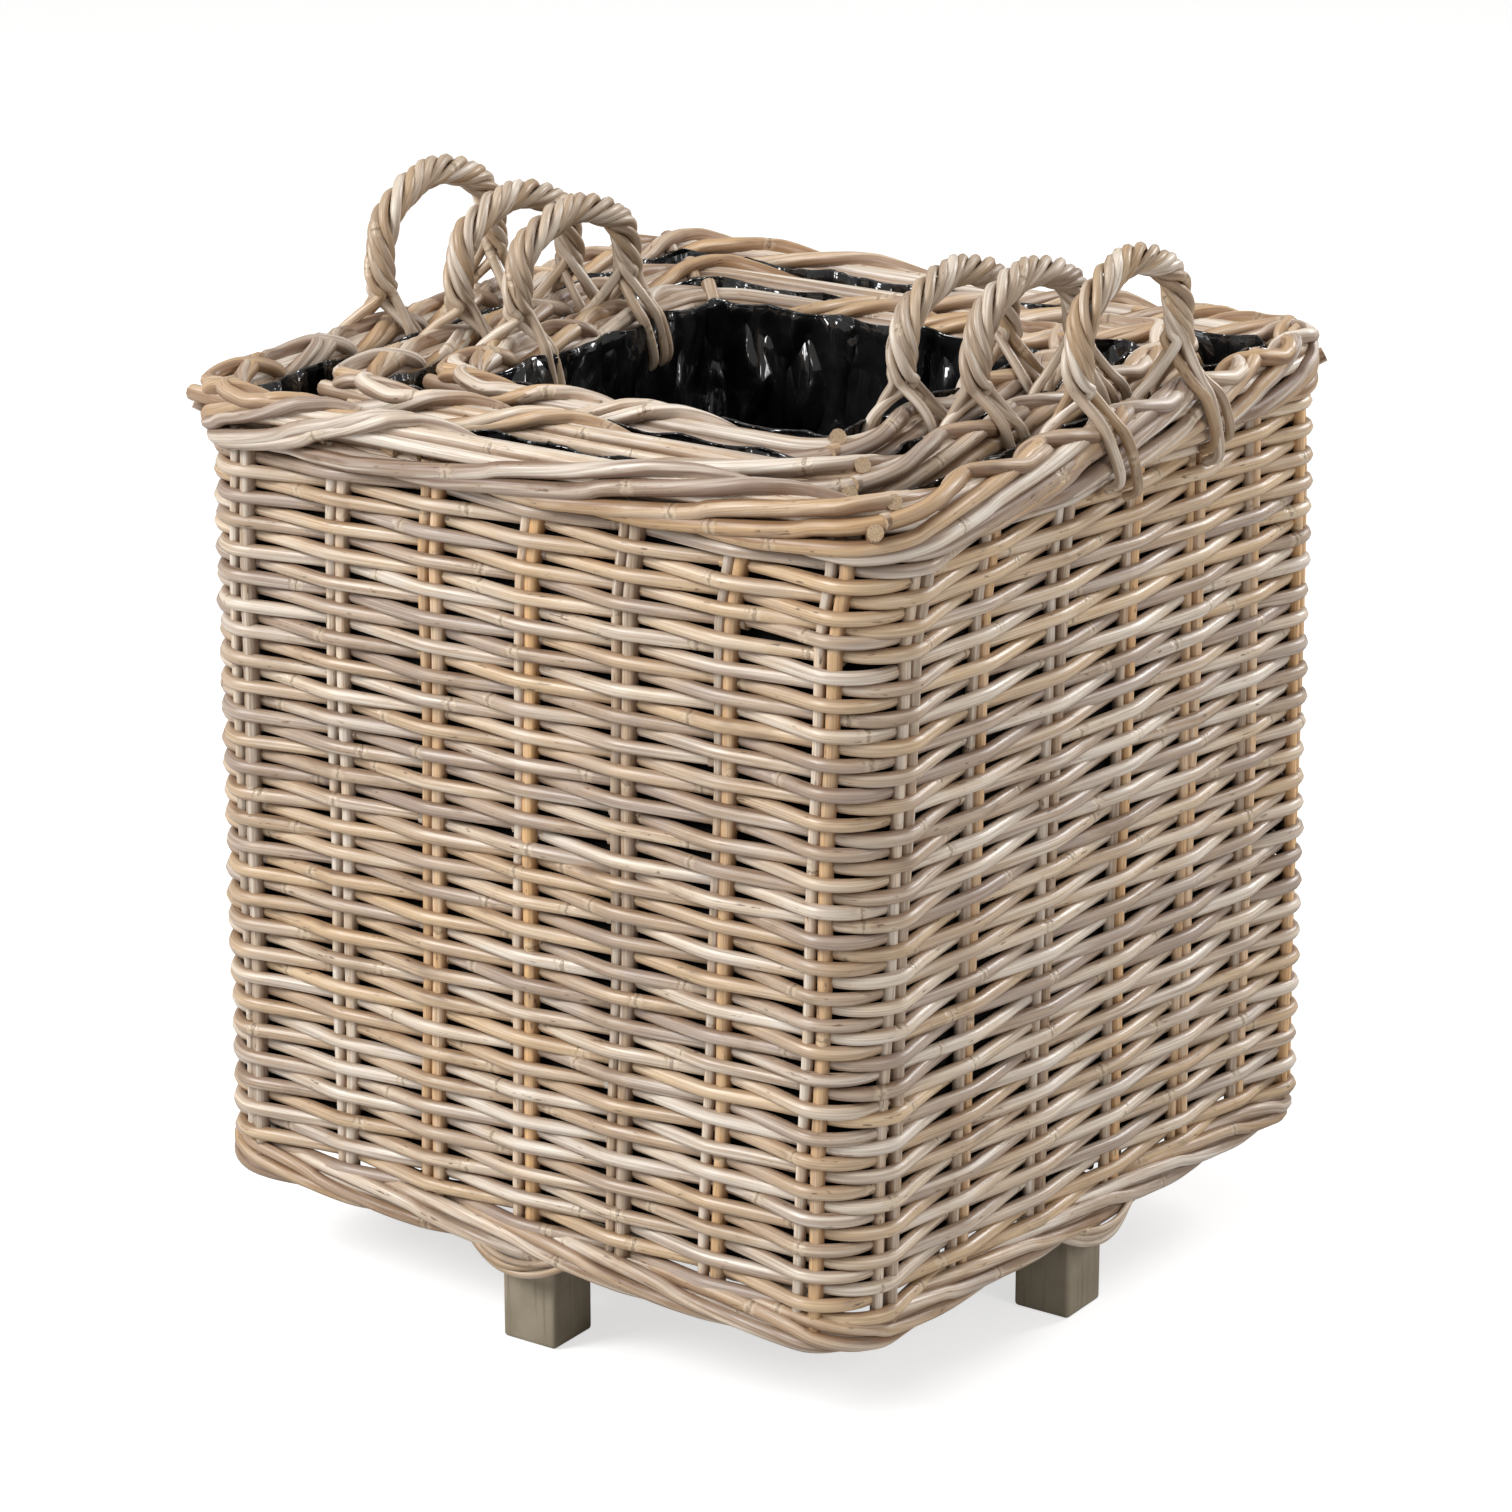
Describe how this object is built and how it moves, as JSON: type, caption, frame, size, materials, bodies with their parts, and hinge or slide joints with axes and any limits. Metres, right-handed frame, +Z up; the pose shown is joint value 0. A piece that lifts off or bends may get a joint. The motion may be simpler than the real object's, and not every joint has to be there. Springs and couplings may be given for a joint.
{
  "type": "nesting log basket set",
  "caption": "Nested square woven rattan log baskets with rolled borders, twisted rope handles, plastic liners and square wooden feet; each lifts out of the next.",
  "frame": {"origin": "on the floor, under the middle of the outer basket", "axes": "+Z up, -Y out of the front face, +X to the right; the rope handles stand on the -X and +X sides"},
  "size_m": [0.6, 0.6, 0.7695],
  "materials": {
    "woven_rattan": "natural grey rattan cane, satin",
    "border_rattan": "thick natural grey rattan cane, satin",
    "base_rattan": "raw woven cane, matt",
    "black_liner": "thin crinkled black film, glossy",
    "bar_timber": "sawn timber, matt",
    "painted_foot": "taupe paint on wood, eggshell",
    "twisted_cane": "thin cane twisted into rope, satin"
  },
  "bodies": {
    "outer_basket": {"outer_woven_wall": "woven_rattan", "outer_top_border": "border_rattan", "outer_bottom_border": "border_rattan", "outer_base_panel": "base_rattan", "outer_liner": "black_liner", "outer_base_bar_side_to_side": "bar_timber", "outer_base_bar_front_to_back": "bar_timber", "outer_foot_front": "painted_foot", "outer_foot_right": "painted_foot", "outer_foot_back": "painted_foot", "outer_foot_left": "painted_foot", "outer_handle_left": "twisted_cane", "outer_handle_right": "twisted_cane"},
    "middle_basket": {"middle_woven_wall": "woven_rattan", "middle_top_border": "border_rattan", "middle_bottom_border": "border_rattan", "middle_base_panel": "base_rattan", "middle_liner": "black_liner", "middle_base_bar_side_to_side": "bar_timber", "middle_base_bar_front_to_back": "bar_timber", "middle_foot_front": "painted_foot", "middle_foot_right": "painted_foot", "middle_foot_back": "painted_foot", "middle_foot_left": "painted_foot", "middle_handle_left": "twisted_cane", "middle_handle_right": "twisted_cane"},
    "inner_basket": {"inner_woven_wall": "woven_rattan", "inner_top_border": "border_rattan", "inner_bottom_border": "border_rattan", "inner_base_panel": "base_rattan", "inner_liner": "black_liner", "inner_base_bar_side_to_side": "bar_timber", "inner_base_bar_front_to_back": "bar_timber", "inner_foot_front": "painted_foot", "inner_foot_right": "painted_foot", "inner_foot_back": "painted_foot", "inner_foot_left": "painted_foot", "inner_handle_left": "twisted_cane", "inner_handle_right": "twisted_cane"}
  },
  "joints": [
    {"name": "middle_lift", "type": "slide", "parent": "outer_basket", "child": "middle_basket", "axis": [0, 0, 1], "range_m": [0, 0.68]},
    {"name": "inner_lift", "type": "slide", "parent": "middle_basket", "child": "inner_basket", "axis": [0, 0, 1], "range_m": [0, 0.56]}
  ]
}
